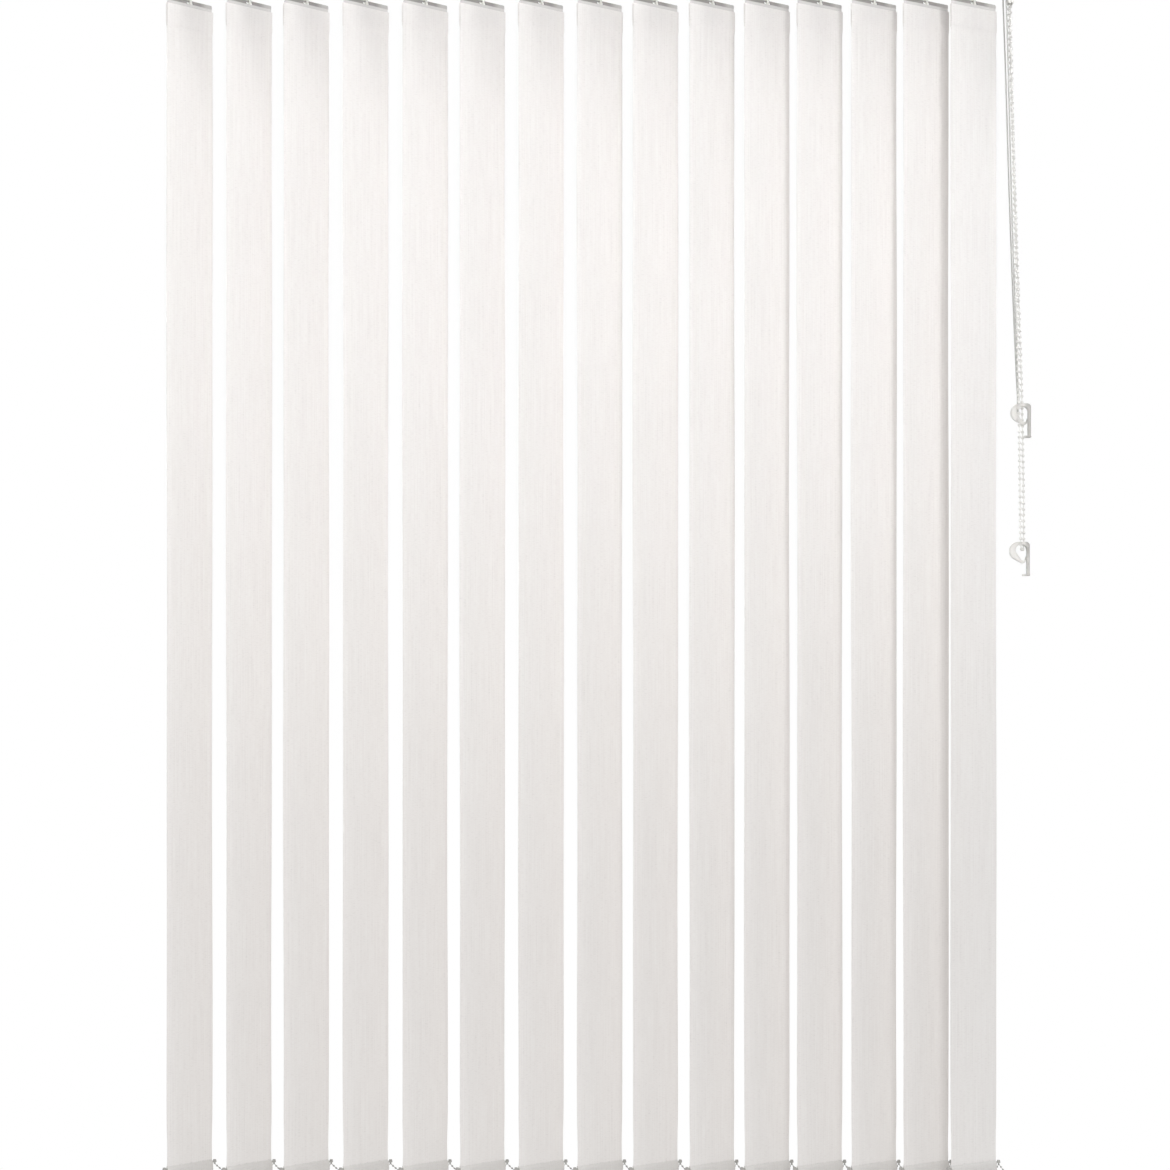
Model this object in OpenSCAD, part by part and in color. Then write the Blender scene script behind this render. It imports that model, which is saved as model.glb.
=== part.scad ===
// Vertical blind with fabric slats, hung from a ceiling-mounted headrail.
// Millimetres. X runs along the headrail, -Y faces the room, Z is up.
// The origin is on the ceiling plane, midway between the two ceiling brackets.

/* [Slats] */
// Width of the fabric
slat_w = 89; // [80:1:100]
// Height of the fabric's top edge below the ceiling
fabric_top = 53; // [51:1:60]
// Height of the fabric's bottom edge below the ceiling
fabric_bottom = 1646; // [1200:1:2400]
// Thickness of the fabric
fabric_t = 0.5; // [0.4:0.1:0.8]
// Height of the pocket that holds the bottom weight
pocket_h = 38; // [34:1:50]
// Turn of the middle slat from closed
slat_angle = 47.2; // [30:0.1:140]
// Twist of the tilt rod between two slats
rod_twist = 0.95; // [0:0.05:1]
// Place of the lead slat's hook along the headrail
lead_x = -532; // [-540:1:-525]

/* [Headrail] */
// Length of the headrail with its end caps
rail_l = 1167; // [1165:1:1180]
// Width of the headrail
rail_w = 44; // [44:1:48]
// Height of the headrail
rail_h = 27; // [27:1:30]
// Wall of the extrusion
rail_wall = 1.4; // [1.2:0.1:1.6]
// Width of the slot along the underside
slot_w = 12; // [11:0.5:13]
// Room between the ceiling and the headrail
rail_drop = 3; // [2.5:0.1:4]
// Distance of each ceiling bracket from the middle
bracket_x = 450; // [300:10:500]

/* [Carriers] */
// Length of a truck along the headrail
truck_l = 22; // [18:1:22]
// Longest pitch that a spacer strip allows
spacer_pitch = 81; // [81:1:84]
// Radius of a roller
roller_r = 4.2; // [3.6:0.1:4.4]
// Teeth of the worm wheel
wheel_teeth = 12; // [8:1:16]

/* [Controls] */
// Diameter of the traverse cord
cord_d = 2; // [1.6:0.2:2.4]
// Diameter of the tilt chain's beads
bead_d = 4.5; // [4:0.1:4.6]
// Pitch of the tilt chain's beads
bead_pitch = 8; // [7.8:0.1:8.2]
// Depth of the cord and chain tidies from front to back
tidy_depth = 10; // [8:1:10]

/* [Link chains] */
// Diameter of a link chain's beads
link_bead_d = 2.6; // [2.4:0.1:2.8]
// Length of chain between two slats
link_l = 92; // [90:1:100]
// Beads between two slats
link_beads = 11; // [7:4:15]

/* [Hidden] */
$fn = 32;
// Hook to hook distances, lead slat first: the last few slats aren't drawn out fully
gaps = [80, 77, 80, 80, 77, 79, 79, 75, 76, 74, 71, 73, 70, 64];
slat_count = len(gaps) + 1;
function hook_x(i) = i == 1 ? lead_x : hook_x(i - 1) + gaps[i - 2];
function slat_turn(i) = slat_angle + ((slat_count + 1) / 2 - i) * rod_twist;
function two_digits(i) = i < 10 ? str("0", i) : str(i);

// Headrail section
rail_top = -rail_drop;
rail_bottom = rail_top - rail_h;
cap_near_l = 30.5;
cap_far_l = 27.5;
rail_x0 = -rail_l / 2 + cap_far_l;
rail_x1 = rail_l / 2 - cap_near_l;
rail_in_w = rail_w - 2 * rail_wall;
cap_wall = 1.6;
groove_z = rail_top - 5.5;
groove_h = 2;
groove_d = 1.2;
track_z = rail_bottom + rail_wall;

// Tilt drive
rod_r = 2.5;
rod_y = -8.6;
rod_z = -19;
worm_r = 3.9;
wheel_r = 4.35;
wheel_h = 5;
sprocket_x = 570.5;
sprocket_w = 7;
pockets = 6;
sprocket_r = pockets * bead_pitch / (2 * PI);

// Traverse cord
cord_y = 16.5;
cord_z = -13;
cord_drop_x = 564.5;
pulley_r = 5;
pulley_x = cord_drop_x - pulley_r;
return_x = -rail_l / 2 + 19.5;

// Truck
truck_w = 29;
truck_top = -9;
truck_mid = -19.5;
truck_bottom = track_z + 1.6;
roller_z = track_z + roller_r + 0.3;
lane_pitch = 5.6;
lanes = 5;
strip_w = 4.4;
strip_t = 0.5;
strip_z = truck_top + 0.4;

// Hanger and hook
hanger_w = 86;
hanger_top = -44;
hanger_h = 32;
hanger_t = 1.2;
rib_h = 6;
rib_t = 1.6;
hook_slot_w = 12.5;
hook_slot_h = 2.8;
nib_z = hanger_top - 3.3;

// Bottom weight and its ears
seam_z = pocket_h - fabric_bottom;
weight_w = 84;
weight_t = 2;
ear_u = 49.4;
ear_r = 2.5;
ear_top = seam_z - 2;
ear_h = 2.5;
pin_r = 0.9;
link_z = ear_top - ear_h - link_bead_d / 2 - 0.2;
link_string_r = 0.5;
link_runs = 4;

// Tidies: place of the top left corner in X and Z
cord_tidy_at = [572.8, -586];
chain_tidy_at = [571.1, -772];

// Route of the traverse cord, from the lead carrier round both ends and back to it
cord_route = [
  [-531, -16.5, -13], [-300, -16.5, -13], [0, -16.5, -13], [300, -16.5, -13], [558, -16.5, -13],
  [561.4, -16.5, -13.4], [563.6, -16.5, -15.2], [564.5, -16.5, -18], [564.5, -16.5, -30],
  [564.8, -16.5, -44], [567, -15.3, -110], [573.8, -10.4, -350], [580.6, -7.2, -530], [583, -6.5, -580],
  [583, -6.5, -590.5], [583, -6, -593], [583, -4.6, -595.1], [583, -2.5, -596.5], [583, 0, -597],
  [583, 2.5, -596.5], [583, 4.6, -595.1], [583, 6, -593], [583, 6.5, -590.5], [583, 6.5, -580],
  [580.6, 7.2, -530], [573.8, 10.4, -350], [567, 15.3, -110], [564.8, 16.5, -44],
  [564.5, 16.5, -30], [564.5, 16.5, -18], [563.6, 16.5, -15.2], [561.4, 16.5, -13.4], [558, 16.5, -13],
  [300, 16.5, -13], [0, 16.5, -13], [-300, 16.5, -13], [-564, 16.5, -13], [-570.3, 15.2, -13],
  [-575.7, 11.7, -13], [-579.2, 6.3, -13], [-580.5, 0, -13], [-579.2, -6.3, -13],
  [-575.7, -11.7, -13], [-570.3, -15.2, -13], [-564, -16.5, -13], [-535, -16.5, -13]
];

// Route of the tilt chain below the sprocket, front strand then rear strand
string_r = 0.6;
chain_front = [
  [570.5, rod_y - sprocket_r, rod_z], [570.5, rod_y - sprocket_r, -54], [582.6, -10.5, -600], [585.4, -8, -775]
];
chain_rear = [
  [570.5, rod_y + sprocket_r, rod_z], [570.5, rod_y + sprocket_r, -54], [589.8, 10.5, -600], [591.4, 8, -775]
];
chain_u_steps = 4;

SINGLE_NODES = [
  "headrail", "control_end_cap", "far_end_cap", "ceiling_brackets", "tilt_rod", "chain_sprocket",
  "return_pulley", "cord_pulley_front", "cord_pulley_rear", "traverse_cord", "tilt_chain",
  "cord_tidy", "chain_tidy", "front_link_chain", "rear_link_chain"
];

// Colours as the object shows them
aluminium = "silver";
white_plastic = "whitesmoke";
grey_plastic = "darkgray";
clear_plastic = "lightgray";
linen = "linen";

// Flat shape of a rectangle with round corners, centred
module rounded_rect(w, h, r) {
  square([w - 2 * r, h], center = true);
  square([w, h - 2 * r], center = true);
  for (sx = [-1, 1], sy = [-1, 1])
    translate([sx * (w / 2 - r), sy * (h / 2 - r)]) circle(r);
}

// A section drawn in Y and Z, drawn out along X from x0 to x1
module along_x(x0, x1) {
  translate([x0, 0, 0]) rotate([90, 0, 90]) linear_extrude(x1 - x0) children();
}

// A round bar along X
module bar_x(x0, x1, y, z, r) {
  translate([x0, y, z]) rotate([0, 90, 0]) cylinder(r = r, h = x1 - x0);
}

// A round bar along Y
module bar_y(x, y0, y1, z, r) {
  translate([x, y0, z]) rotate([-90, 0, 0]) cylinder(r = r, h = y1 - y0);
}

// A box between two corners
module block(low, high) {
  translate(low) cube(high - low);
}

// A thin bar between two points
module link(a, b, r) {
  d = b - a;
  l = norm(d);
  translate(a) rotate([0, acos(d[2] / l), atan2(d[1], d[0])]) cylinder(r = r, h = l);
}

// Places its children at a slat's hook
module at_hook(i) {
  translate([hook_x(i), 0, 0]) children();
}

// Headrail: a channel with roller tracks beside its slot and a bracket groove in each side
module rail_outline() {
  translate([0, rail_top - rail_h / 2]) rounded_rect(rail_w, rail_h, 2);
}

module rail_section() {
  difference() {
    rail_outline();
    difference() {
      translate([-rail_in_w / 2, track_z]) square([rail_in_w, rail_h - 2 * rail_wall]);
      for (s = [-1, 1])
        translate([s * rail_in_w / 2, groove_z + groove_h / 2])
          square([2 * groove_d, groove_h + 2 * rail_wall], center = true);
    }
    translate([-slot_w / 2, rail_bottom - 1]) square([slot_w, rail_wall + 2]);
    for (s = [-1, 1])
      translate([s * rail_w / 2, groove_z + groove_h / 2]) square([2 * groove_d, groove_h], center = true);
  }
  for (s = [-1, 1])
    translate([s * (slot_w / 2 + 0.5), track_z + 0.5]) square([1, 1.4], center = true);
}

module headrail() {
  color(aluminium) along_x(rail_x0, rail_x1) rail_section();
}

// Tongues that push into the headrail's end
module cap_tongues(x0, x1) {
  inner_top = rail_top - rail_wall;
  block([x0, -14, inner_top - 1.6], [x1, 14, inner_top - 0.2]);
  for (s = [-1, 1])
    translate([0, s * (rail_in_w / 2 - 0.9), 0]) block([x0, -0.7, -27], [x1, 0.7, -17]);
}

module cap_shell(x0, x1, open_x0, open_x1) {
  difference() {
    along_x(x0, x1) rail_outline();
    block(
      [open_x0, cap_wall - rail_w / 2, rail_bottom + cap_wall],
      [open_x1, rail_w / 2 - cap_wall, rail_top - cap_wall]
    );
  }
}

// Control end cap: holds the cord pulleys and the sprocket, with a chain guide below
module control_end_cap() {
  end_x = rail_x1 + cap_near_l;
  chain_mid = rod_y;
  chain_span = 2 * sprocket_r + bead_d + 1.6;
  color(white_plastic) {
    difference() {
      union() {
        cap_shell(rail_x1, end_x, rail_x1 - 1, end_x - cap_wall);
        translate([sprocket_x, chain_mid, -50])
          linear_extrude(20.5) rounded_rect(bead_d + 4.2, chain_span + 3, 2);
      }
      translate([sprocket_x, chain_mid, -51])
        linear_extrude(25) rounded_rect(bead_d + 1.6, chain_span, 1.5);
      for (s = [-1, 1])
        translate([cord_drop_x, s * cord_y, rail_bottom - 1]) cylinder(r = cord_d / 2 + 0.9, h = 4);
    }
    cap_tongues(rail_x1 - 8, rail_x1 + cap_wall);
    for (s = [-1, 1]) block(
      [rail_x1, s * 20 - 0.6, -27],
      [rail_x1 + 3, s * 20 + 0.6, -17]
    );
    difference() {
      bar_x(sprocket_x + sprocket_w / 2 + 1, end_x - 0.5, rod_y, rod_z, 4.5);
      bar_x(sprocket_x, end_x - 2, rod_y, rod_z, rod_r + 0.3);
    }
    for (s = [-1, 1]) {
      bar_y(pulley_x, s > 0 ? 14 : -21, s > 0 ? 21 : -14, cord_z - pulley_r, 1.6);
      bar_y(pulley_x, s > 0 ? 13 : -14.1, s > 0 ? 14.1 : -13, cord_z - pulley_r, 2.6);
    }
  }
}

// Far end cap: holds the return pulley's axle and the rod's far bearing
module far_end_cap() {
  end_x = rail_x0 - cap_far_l;
  color(white_plastic) {
    cap_shell(end_x, rail_x0, end_x + cap_wall, rail_x0 + 1);
    cap_tongues(rail_x0 - cap_wall, rail_x0 + 7);
    for (s = [-1, 1]) block(
      [rail_x0 - 3, s * 20 - 0.6, -27],
      [rail_x0, s * 20 + 0.6, -17]
    );
    translate([return_x, 0, -17]) cylinder(r = 2.4, h = 13);
    translate([return_x, 0, -17]) cylinder(r = 4, h = 1.5);
    difference() {
      bar_x(end_x + 0.5, rail_x0 + 7, rod_y, rod_z, 3.6);
      bar_x(rail_x0 - 1, rail_x0 + 8, rod_y, rod_z, rod_r + 0.3);
    }
  }
}

// Ceiling bracket: a plate with two sprung arms, whose lips hold the headrail's side grooves
module ceiling_bracket() {
  plate_t = 1.6;
  arm_y = rail_w / 2 + 0.3;
  difference() {
    translate([0, 0, -plate_t]) linear_extrude(plate_t) rounded_rect(30, 2 * arm_y + 2 * plate_t, 2);
    translate([0, 0, -plate_t - 1]) cylinder(r = 2.25, h = plate_t + 2);
  }
  for (s = [0, 180]) rotate([0, 0, s]) {
    block([-12, arm_y, groove_z + 0.3], [12, arm_y + plate_t, -plate_t + 0.1]);
    block([-12, arm_y - 1, groove_z + 0.3], [12, arm_y + plate_t, groove_z + groove_h - 0.1]);
  }
}

module ceiling_brackets() {
  color(aluminium) for (s = [-1, 1]) translate([s * bracket_x, 0, 0]) ceiling_bracket();
}

// Tilt rod: round, with three key grooves along it
module tilt_rod() {
  color(aluminium) translate([0, rod_y, rod_z]) along_x(rail_x0 + 1, sprocket_x + 10) difference() {
    circle(rod_r);
    for (a = [0, 120, 240]) rotate(a) translate([rod_r, 0]) circle(0.6);
  }
}

// Chain sprocket: a wheel with a pocket for each bead and a groove for the string between them
module chain_sprocket() {
  rim_r = sprocket_r + 0.8;
  pocket_r = bead_d / 2 + 0.25;
  color(white_plastic) translate([sprocket_x, rod_y, rod_z]) rotate([0, 90, 0]) difference() {
    translate([0, 0, -sprocket_w / 2]) cylinder(r = rim_r, h = sprocket_w);
    translate([0, 0, -sprocket_w]) cylinder(r = rod_r + 0.1, h = 2 * sprocket_w);
    rotate_extrude() translate([sprocket_r - 2, -0.9]) square([4, 1.8]);
    for (k = [0 : pockets - 1])
      rotate(90 + k * 360 / pockets) translate([sprocket_r - pocket_r, 0, 0])
        rotate([0, 90, 0]) cylinder(r = pocket_r, h = 2 * pocket_r);
  }
}

// Cord pulley: a grooved wheel, with its axis along Z and its groove at pitch radius r
module pulley(r, bore, h) {
  rotate_extrude() difference() {
    translate([bore, -h / 2]) square([r + 0.6 - bore, h]);
    translate([r, 0]) circle(cord_d / 2 + 0.5);
  }
}

module return_pulley() {
  color(white_plastic) translate([return_x, 0, cord_z]) pulley(cord_y, 2.7, 4);
}

module cord_pulley(side) {
  color(white_plastic) translate([pulley_x, side * cord_y, cord_z - pulley_r]) rotate([90, 0, 0])
    pulley(pulley_r, 1.9, 3.8);
}

module cord_pulley_front() {
  cord_pulley(-1);
}

module cord_pulley_rear() {
  cord_pulley(1);
}

// Unit vector along a route at point k
function along(route, k) =
  let (
    a = route[max(k - 1, 0)],
    b = route[min(k + 1, len(route) - 1)]
  )
  (b - a) / norm(b - a);

// Side vectors of a ring: carried from ring to ring so that the tube doesn't twist
function carried(side, t) = let (s = side - (side * t) * t) s / norm(s);
function ring_sides(route, k) =
  k == 0 ? carried([0, 0, 1], along(route, 0)) : carried(ring_sides(route, k - 1), along(route, k));

// A tube along a route of points
module tube(route, r, sides) {
  n = len(route);
  points = [
    for (k = [0 : n - 1])
      let (
        t = along(route, k),
        u = ring_sides(route, k),
        v = cross(t, u)
      )
      for (j = [0 : sides - 1])
        route[k] + r * (cos(360 * j / sides) * u + sin(360 * j / sides) * v)
  ];
  walls = [
    for (k = [0 : n - 2], j = [0 : sides - 1])
      let (m = (j + 1) % sides)
      [k * sides + j, (k + 1) * sides + j, (k + 1) * sides + m, k * sides + m]
  ];
  ends = [
    [for (j = [0 : sides - 1]) j],
    [for (j = [sides - 1 : -1 : 0]) (n - 1) * sides + j]
  ];
  polyhedron(points, concat(walls, ends));
}

module traverse_cord() {
  color(clear_plastic) tube(cord_route, cord_d / 2, 8);
}

// A straight run from a to b of beads on a string: n equal steps, with a bead after each of the first few
module bead_run(a, b, n, beads, bead_r, string_r) {
  d = b - a;
  l = norm(d);
  translate(a) rotate([0, acos(d[2] / l), atan2(d[1], d[0])]) rotate_extrude() intersection() {
    union() {
      for (k = [1 : beads]) translate([0, k * l / n]) circle(bead_r);
      translate([0, l / 2]) square([2 * string_r, l], center = true);
    }
    translate([0, -bead_r]) square([2 * bead_r, l + 2 * bead_r]);
  }
}

// Beads on a bend, with a bead at each point between the first and the last
module bead_bend(points) {
  for (k = [1 : len(points) - 1]) link(points[k - 1], points[k], string_r);
  for (k = [1 : len(points) - 2]) translate(points[k]) sphere(bead_d / 2);
}

// One side of the tilt chain, from the sprocket down to the chain tidy
module tilt_strand(strand) {
  translate(strand[0]) sphere(bead_d / 2);
  for (k = [1 : 3]) {
    steps = round(norm(strand[k] - strand[k - 1]) / bead_pitch);
    bead_run(strand[k - 1], strand[k], steps, steps, bead_d / 2, string_r);
  }
}

// Tilt chain: over the sprocket, down both sides and round the chain tidy
module tilt_chain() {
  over = [
    for (a = [0 : 60 : 180])
      [sprocket_x, rod_y + sprocket_r * cos(a), rod_z + sprocket_r * sin(a)]
  ];
  front_end = chain_front[3];
  rear_end = chain_rear[3];
  middle = (front_end + rear_end) / 2;
  under = [
    for (k = [0 : chain_u_steps])
      let (a = 180 * k / chain_u_steps)
      middle + (front_end - middle) * cos(a) - [0, 0, 8 * sin(a)]
  ];
  color(clear_plastic) {
    bead_bend(over);
    bead_bend(under);
    tilt_strand(chain_front);
    tilt_strand(chain_rear);
  }
}

// Tidy: a P-shaped clip. The cord or chain runs through its eye and its leg is fixed to the wall beside it
module tidy(at) {
  translate([at[0], 0, at[1]]) rotate([90, 0, 0]) translate([0, 0, -tidy_depth / 2])
    difference() {
      linear_extrude(tidy_depth) {
        difference() {
          union() {
            hull() {
              translate([12.5, -12.5]) circle(12.5);
              translate([17.5, -25]) circle(4);
            }
            translate([14, -12]) square([12.9, 8]);
            translate([21.9, -5]) circle(5);
            translate([14, -5]) square([8, 5]);
            translate([23, -45]) square([3.9, 40]);
          }
          hull() {
            translate([15.5, -11.2]) circle(7.5);
            translate([18.4, -20.5]) circle(4.5);
          }
        }
        translate([18.5, -44.6]) circle(1.3);
        translate([26.2, -44.6]) circle(1.3);
        translate([18.5, -45.9]) square([7.7, 2.6]);
      }
      translate([20, -35, tidy_depth / 2]) rotate([0, 90, 0]) cylinder(r = 1.8, h = 10);
    }
}

module cord_tidy() {
  color(grey_plastic) tidy(cord_tidy_at);
}

module chain_tidy() {
  color(grey_plastic) tidy(chain_tidy_at);
}

// Truck of a carrier: body, slot guide, housings for worm and worm wheel, and cord eyes
module truck() {
  chamber_l = truck_l - 7;
  difference() {
    union() {
      translate([0, 0, truck_mid]) linear_extrude(truck_top - truck_mid) rounded_rect(truck_l, truck_w, 2);
      translate([0, 0, truck_bottom]) linear_extrude(truck_mid - truck_bottom) rounded_rect(truck_l - 2, 23, 2);
      bar_x(-truck_l / 2 + 1, truck_l / 2 - 1, rod_y, rod_z, worm_r + 1);
      translate([0, 0, rail_bottom + 0.4])
        linear_extrude(truck_bottom - rail_bottom) rounded_rect(truck_l - 4, slot_w - 1.2, 2);
      for (s = [-1, 1]) translate([0, s * cord_y, 0]) block([-3, -2.7, cord_z - 3], [3, 2.7, cord_z + 2.9]);
    }
    bar_x(-chamber_l / 2, chamber_l / 2, rod_y, rod_z, worm_r + 0.4);
    bar_x(-truck_l, truck_l, rod_y, rod_z, rod_r + 0.4);
    translate([0, 0, rod_z - wheel_h / 2 - 0.5]) cylinder(r = wheel_r + 0.6, h = wheel_h + 1);
    translate([0, 0, rail_bottom - 1]) cylinder(r = 2.3, h = 12);
    translate([0, 0, rod_z]) cylinder(r = 1.8, h = 6);
    for (s = [-1, 1]) bar_x(-4, 4, s * cord_y, cord_z, cord_d / 2 + 0.8);
  }
}

// Worm: ribbed sleeve round the rod
module worm() {
  rib = 1.4;
  worm_l = truck_l - 5;
  translate([-worm_l / 2, rod_y, rod_z]) rotate([0, 90, 0]) difference() {
    cylinder(r = worm_r, h = worm_l);
    translate([0, 0, -1]) cylinder(r = rod_r + 0.4, h = worm_l + 2);
    for (k = [1 : 5])
      translate([0, 0, worm_l / 2 + (k - 3) * 2 * rib])
        rotate_extrude() translate([worm_r - 0.5, -rib / 2]) square([1, rib]);
  }
}

module roller(x, side) {
  y0 = 14;
  roller_w = 4.2;
  bar_y(x, side > 0 ? 11 : -y0 - 0.1, side > 0 ? y0 + 0.1 : -11, roller_z, 1.6);
  bar_y(x, side > 0 ? y0 : -y0 - roller_w, side > 0 ? y0 + roller_w : -y0, roller_z, roller_r);
}

// Spacer strip: runs over the next carriers in a lane of its own and ends in a lip
module spacer_strip(i) {
  lane_y = (i % lanes - (lanes - 1) / 2) * lane_pitch;
  reach = spacer_pitch + truck_l / 2 + 2;
  translate([0, lane_y, 0]) {
    block([2, -strip_w / 2, truck_top - 0.2], [8, strip_w / 2, strip_z + 1]);
    block([-reach, -strip_w / 2, strip_z], [8, strip_w / 2, strip_z + strip_t]);
    block([-reach, -strip_w / 2, strip_z], [-reach + strip_t, strip_w / 2, strip_z + 2.2]);
  }
}

// Carrier: truck with worm and rollers, and a spacer strip on all but the lead one
module carrier(i) {
  color(white_plastic) at_hook(i) {
    truck();
    worm();
    for (x = [-5.8, 5.8], side = [-1, 1]) roller(x, side);
    if (i > 1) spacer_strip(i);
  }
}

// Hook: stem with a worm wheel above, and jaws that hold the hanger below
module hook() {
  tooth_w = 1;
  head_z = -37;
  jaw_in = rib_t / 2 + 0.3;
  jaw_t = 1.7;
  translate([0, 0, head_z]) cylinder(r = 2, h = rod_z - head_z);
  translate([0, 0, rod_z - wheel_h / 2]) cylinder(r = wheel_r - 0.9, h = wheel_h);
  translate([0, 0, rod_z]) cylinder(r = 1.5, h = 5.6);
  for (k = [0 : wheel_teeth - 1]) rotate(k * 360 / wheel_teeth)
    translate([wheel_r - 1.4, -tooth_w / 2, rod_z - wheel_h / 2]) cube([1.3, tooth_w, wheel_h]);
  translate([0, 0, head_z]) linear_extrude(5) rounded_rect(7, 2 * (jaw_in + jaw_t), 1.2);
  block([-1.75, -jaw_in - jaw_t, hanger_top - 5.5], [1.75, -jaw_in, head_z + 1]);
  block([-1.75, jaw_in, hanger_top - 3], [1.75, jaw_in + jaw_t, head_z + 1]);
  translate([0, -jaw_in - 0.2, nib_z]) rotate([-90, 0, 0]) cylinder(r = 1.3, h = jaw_in + 0.7);
}

// A plate with round corners across the hanger's width, down from its top
module hanger_plate(h, t) {
  translate([0, t / 2, hanger_top - h / 2]) rotate([90, 0, 0])
    linear_extrude(t) rounded_rect(hanger_w, h, 1.5);
}

// Hanger: clear strip that stands out of the fabric's top pocket, with a slot for the hook in its thick rim
module hanger() {
  difference() {
    union() {
      hanger_plate(hanger_h, hanger_t);
      hanger_plate(rib_h, rib_t);
    }
    translate([0, rib_t, nib_z]) rotate([90, 0, 0])
      linear_extrude(2 * rib_t) rounded_rect(hook_slot_w, hook_slot_h, hook_slot_h / 2 - 0.1);
  }
}

// Bottom weight: a plate in the bottom pocket, with an ear at each end for the link chains
module weight() {
  plate_top = ear_top - 1;
  plate_bottom = 4 - fabric_bottom;
  difference() {
    union() {
      translate([0, weight_t / 2, (plate_top + plate_bottom) / 2]) rotate([90, 0, 0])
        linear_extrude(weight_t) rounded_rect(weight_w, plate_top - plate_bottom, 2);
      for (s = [-1, 1]) {
        translate([s * ear_u / 2, 0, ear_top - ear_h / 2]) cube([ear_u, weight_t, ear_h], center = true);
        translate([s * ear_u, 0, ear_top - ear_h]) cylinder(r = ear_r, h = ear_h);
      }
    }
    for (s = [-1, 1]) translate([s * ear_u, 0, ear_top - ear_h - 1]) cylinder(r = 1.3, h = ear_h + 2);
  }
}

module slat_fittings(i) {
  at_hook(i) rotate(slat_turn(i)) {
    color(white_plastic) hook();
    color(clear_plastic) hanger();
    color(grey_plastic) weight();
  }
}

// Section of a slat in thickness and height: one sheet with a folded pocket at each end
module slat_section() {
  top_out = hanger_t / 2 + 0.2 + fabric_t;
  top_end = hanger_top - hanger_h - 1;
  low_out = weight_t / 2 + 0.5 + fabric_t;
  difference() {
    translate([-top_out, top_end - 3]) square([2 * top_out, -fabric_top - top_end + 3]);
    translate([-top_out + fabric_t, top_end]) square([2 * (top_out - fabric_t), 40]);
  }
  translate([-fabric_t / 2, seam_z - 1]) square([fabric_t, top_end - seam_z]);
  difference() {
    union() {
      translate([-low_out, low_out - fabric_bottom]) square([2 * low_out, pocket_h - low_out]);
      translate([0, low_out - fabric_bottom]) circle(low_out);
    }
    union() {
      translate([fabric_t - low_out, low_out - fabric_bottom])
        square([2 * (low_out - fabric_t), pocket_h - low_out - 1.6]);
      translate([0, low_out - fabric_bottom]) circle(low_out - fabric_t);
    }
  }
}

module slat(i) {
  color(linen) at_hook(i) rotate(slat_turn(i)) along_x(-slat_w / 2, slat_w / 2) slat_section();
}

// Catenary of a given length over a given span: its size is found by halving an interval
function arsinh(x) = ln(x + sqrt(x * x + 1));
function catenary_span(a, l) = 2 * a * arsinh(l / (2 * a));
function catenary_size(span, l, low, high, n) =
  let (mid = (low + high) / 2)
  n == 0 ? mid
  : catenary_span(mid, l) < span ? catenary_size(span, l, mid, high, n - 1)
  : catenary_size(span, l, low, mid, n - 1);
function catenary_point(a, l, s) =
  [a * arsinh(s / a), 0, sqrt(a * a + s * s) - sqrt(a * a + l * l / 4)];

// Where a link chain's pin hangs in a slat's front (side -1) or rear (side 1) ear
function pin_at(i, side) =
  [hook_x(i), 0, link_z] + side * ear_u * [cos(slat_turn(i)), sin(slat_turn(i)), 0];

// One span of a link chain between two pins, as straight runs between points of the catenary
module link_span(from, to) {
  d = to - from;
  span = norm(d);
  a = catenary_size(span, link_l, 1, 500, 40);
  steps = (link_beads + 1) / link_runs;
  points = [
    for (k = [0 : link_runs])
      [span / 2, 0, 0] + catenary_point(a, link_l, (k / link_runs - 0.5) * link_l)
  ];
  translate(from) rotate(atan2(d[1], d[0])) for (k = [1 : link_runs])
    bead_run(points[k - 1], points[k], steps, k < link_runs ? steps : steps - 1, link_bead_d / 2, link_string_r);
}

// Pin that clips a link chain into a weight's ear
module link_pin() {
  rise = ear_top - link_z;
  rotate(90) sphere(link_bead_d / 2);
  cylinder(r = pin_r, h = rise + 1);
  translate([0, 0, rise + 0.2]) cylinder(r = 2.1, h = 1.4);
}

// Link chain along the front (side -1) or the rear (side 1) of the slats
module link_chain(side) {
  color(grey_plastic) for (i = [1 : slat_count]) {
    translate(pin_at(i, side)) link_pin();
    if (i < slat_count) link_span(pin_at(i, side), pin_at(i + 1, side));
  }
}

// Short free end of the rear link chain, past the last slat
module link_tail() {
  start = pin_at(slat_count, 1);
  color(grey_plastic) bead_run(start, start + [11.5, 0, -15], 3, 3, link_bead_d / 2, link_string_r);
}

module front_link_chain() {
  link_chain(-1);
}

module rear_link_chain() {
  link_chain(1);
  link_tail();
}

headrail();
control_end_cap();
far_end_cap();
ceiling_brackets();
tilt_rod();
chain_sprocket();
return_pulley();
cord_pulley_front();
cord_pulley_rear();
traverse_cord();
tilt_chain();
cord_tidy();
chain_tidy();
front_link_chain();
rear_link_chain();
for (i = [1 : slat_count]) {
  carrier(i);
  slat_fittings(i);
  slat(i);
}
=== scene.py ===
# %% [markdown]
# # A vertical blind with fabric slats
#
# Fifteen fabric slats hang from a headrail. A bead chain turns them, and a cord draws them aside.
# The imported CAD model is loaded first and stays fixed. Every piece made below stands where its
# CAD node stands, rides on that node's body, and is measured in metres.

# %% Load the frame
import math

import bmesh
import bpy
from mathutils import Matrix, Vector


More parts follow.
